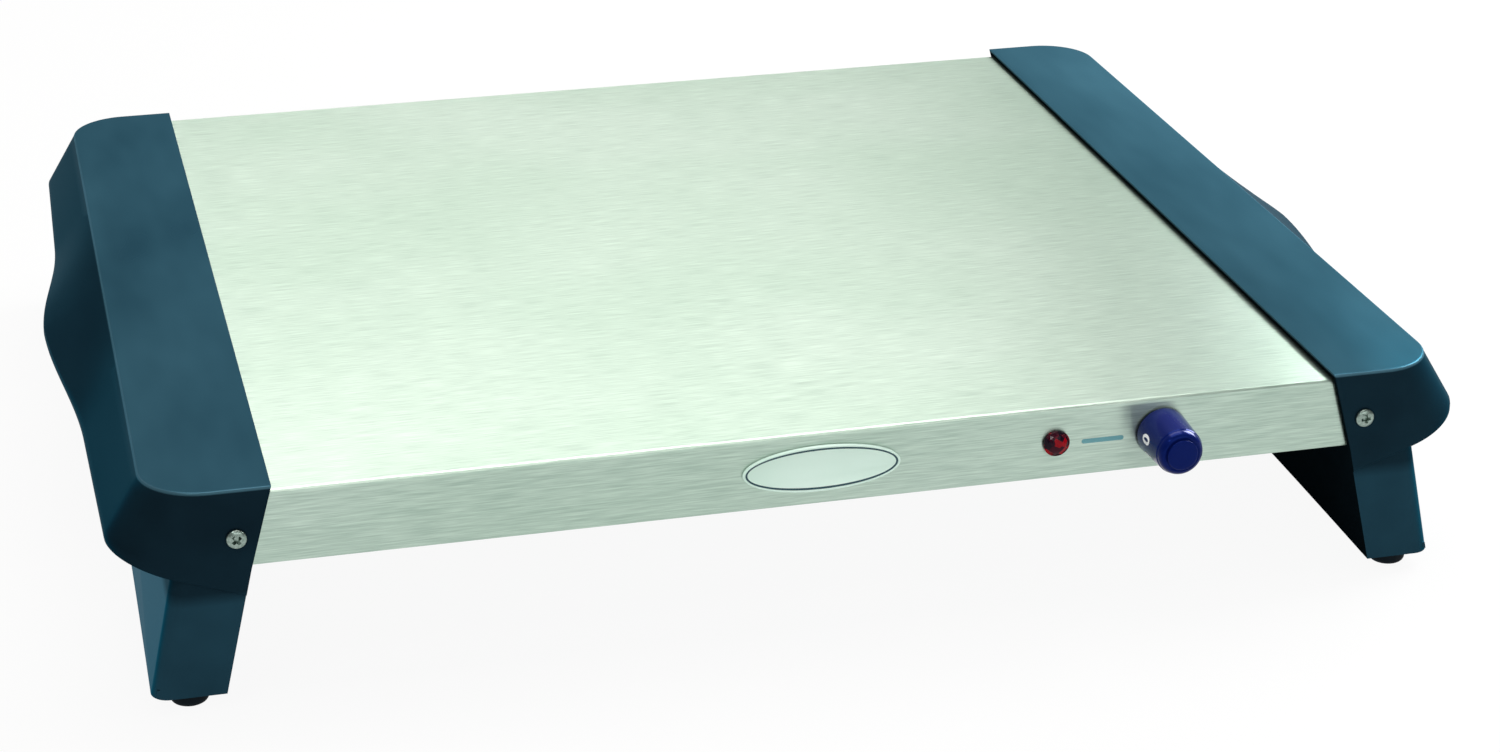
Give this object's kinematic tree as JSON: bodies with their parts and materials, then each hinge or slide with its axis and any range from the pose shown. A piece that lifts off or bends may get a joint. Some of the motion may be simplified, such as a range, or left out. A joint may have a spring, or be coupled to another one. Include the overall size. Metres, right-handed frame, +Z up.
{
  "type": "electric food warming tray",
  "caption": "Low electric food warming tray: flat brushed steel top between two dark plastic end caps with lipped handles and legs, front thermostat knob and pilot lamp.",
  "frame": {"origin": "centre of the whole bounding box in plan, at the height of the table that the feet stand on", "axes": "+X to the right along the tray's length seen from the front, +Y from the knob's side to the rear, +Z up"},
  "size_m": [0.646, 0.5296, 0.1035],
  "materials": {
    "stainless": "brushed along the tray's length, satin",
    "cap_plastic": "dark blue-grey heat-resistant plastic, satin moulded",
    "foot_rubber": "black, matt",
    "plated_steel": "bright zinc or nickel plate",
    "galvanised_steel": "galvanised, dull spangle",
    "spreader_aluminium": "plain rolled",
    "heater_sheath": "oxidised steel sheath",
    "mineral_wool": "pressed mineral wool",
    "knob_plastic": "navy, semi-gloss",
    "ceramic": "white, unglazed",
    "lamp_red": "clear red, polished",
    "black_nylon": "black, moulded",
    "plate_enamel": "pale green enamel, bare of any marking",
    "wire_silicone": "silicone-insulated lead"
  },
  "bodies": {
    "tray": {"bottom_cover": "galvanised_steel", "cap_nut_front_left": "plated_steel", "cap_nut_front_right": "plated_steel", "cap_nut_rear_left": "plated_steel", "cap_nut_rear_right": "plated_steel", "cap_screw_front_left": "plated_steel", "cap_screw_front_right": "plated_steel", "cap_screw_rear_left": "plated_steel", "cap_screw_rear_right": "plated_steel", "cord_gland": "black_nylon", "cord_gland_nut": "black_nylon", "cover_screw_1": "plated_steel", "cover_screw_2": "plated_steel", "cover_screw_3": "plated_steel", "cover_screw_4": "plated_steel", "cover_screw_5": "plated_steel", "cover_screw_6": "plated_steel", "earth_nut": "plated_steel", "element_crossbar_left": "galvanised_steel", "element_crossbar_right": "galvanised_steel", "foot_front_left": "foot_rubber", "foot_front_right": "foot_rubber", "foot_rear_left": "foot_rubber", "foot_rear_right": "foot_rubber", "fuse_clamp": "plated_steel", "heat_shield": "galvanised_steel", "heat_spreader": "spreader_aluminium", "heating_element": "heater_sheath", "insulation_blanket": "mineral_wool", "left_end_cap": "cap_plastic", "oval_plate": "plate_enamel", "pilot_lamp_clip": "plated_steel", "pilot_lamp_holder": "black_nylon", "pilot_lamp_lens": "lamp_red", "plate_push_nut_left": "plated_steel", "plate_push_nut_right": "plated_steel", "right_end_cap": "cap_plastic", "shield_nut_front_left": "galvanised_steel", "shield_nut_front_right": "galvanised_steel", "shield_nut_rear_left": "galvanised_steel", "shield_nut_rear_right": "galvanised_steel", "terminal_block": "ceramic", "thermal_fuse": "ceramic", "thermostat_body": "ceramic", "thermostat_nut": "plated_steel", "tray_top": "stainless", "wire_element": "wire_silicone", "wire_fuse": "wire_silicone", "wire_lamp_feed": "wire_silicone", "wire_lamp_return": "wire_silicone", "wire_line": "wire_silicone", "wire_neutral": "wire_silicone"},
    "knob": {"knob": "knob_plastic", "thermostat_shaft": "plated_steel", "knob_clip": "plated_steel"}
  },
  "joints": [
    {"name": "knob_turn", "type": "hinge", "parent": "tray", "child": "knob", "pos_m": [0.1585, -0.23872, 0.0835], "axis": [0, 1, 0], "range_deg": [0, 200]}
  ]
}
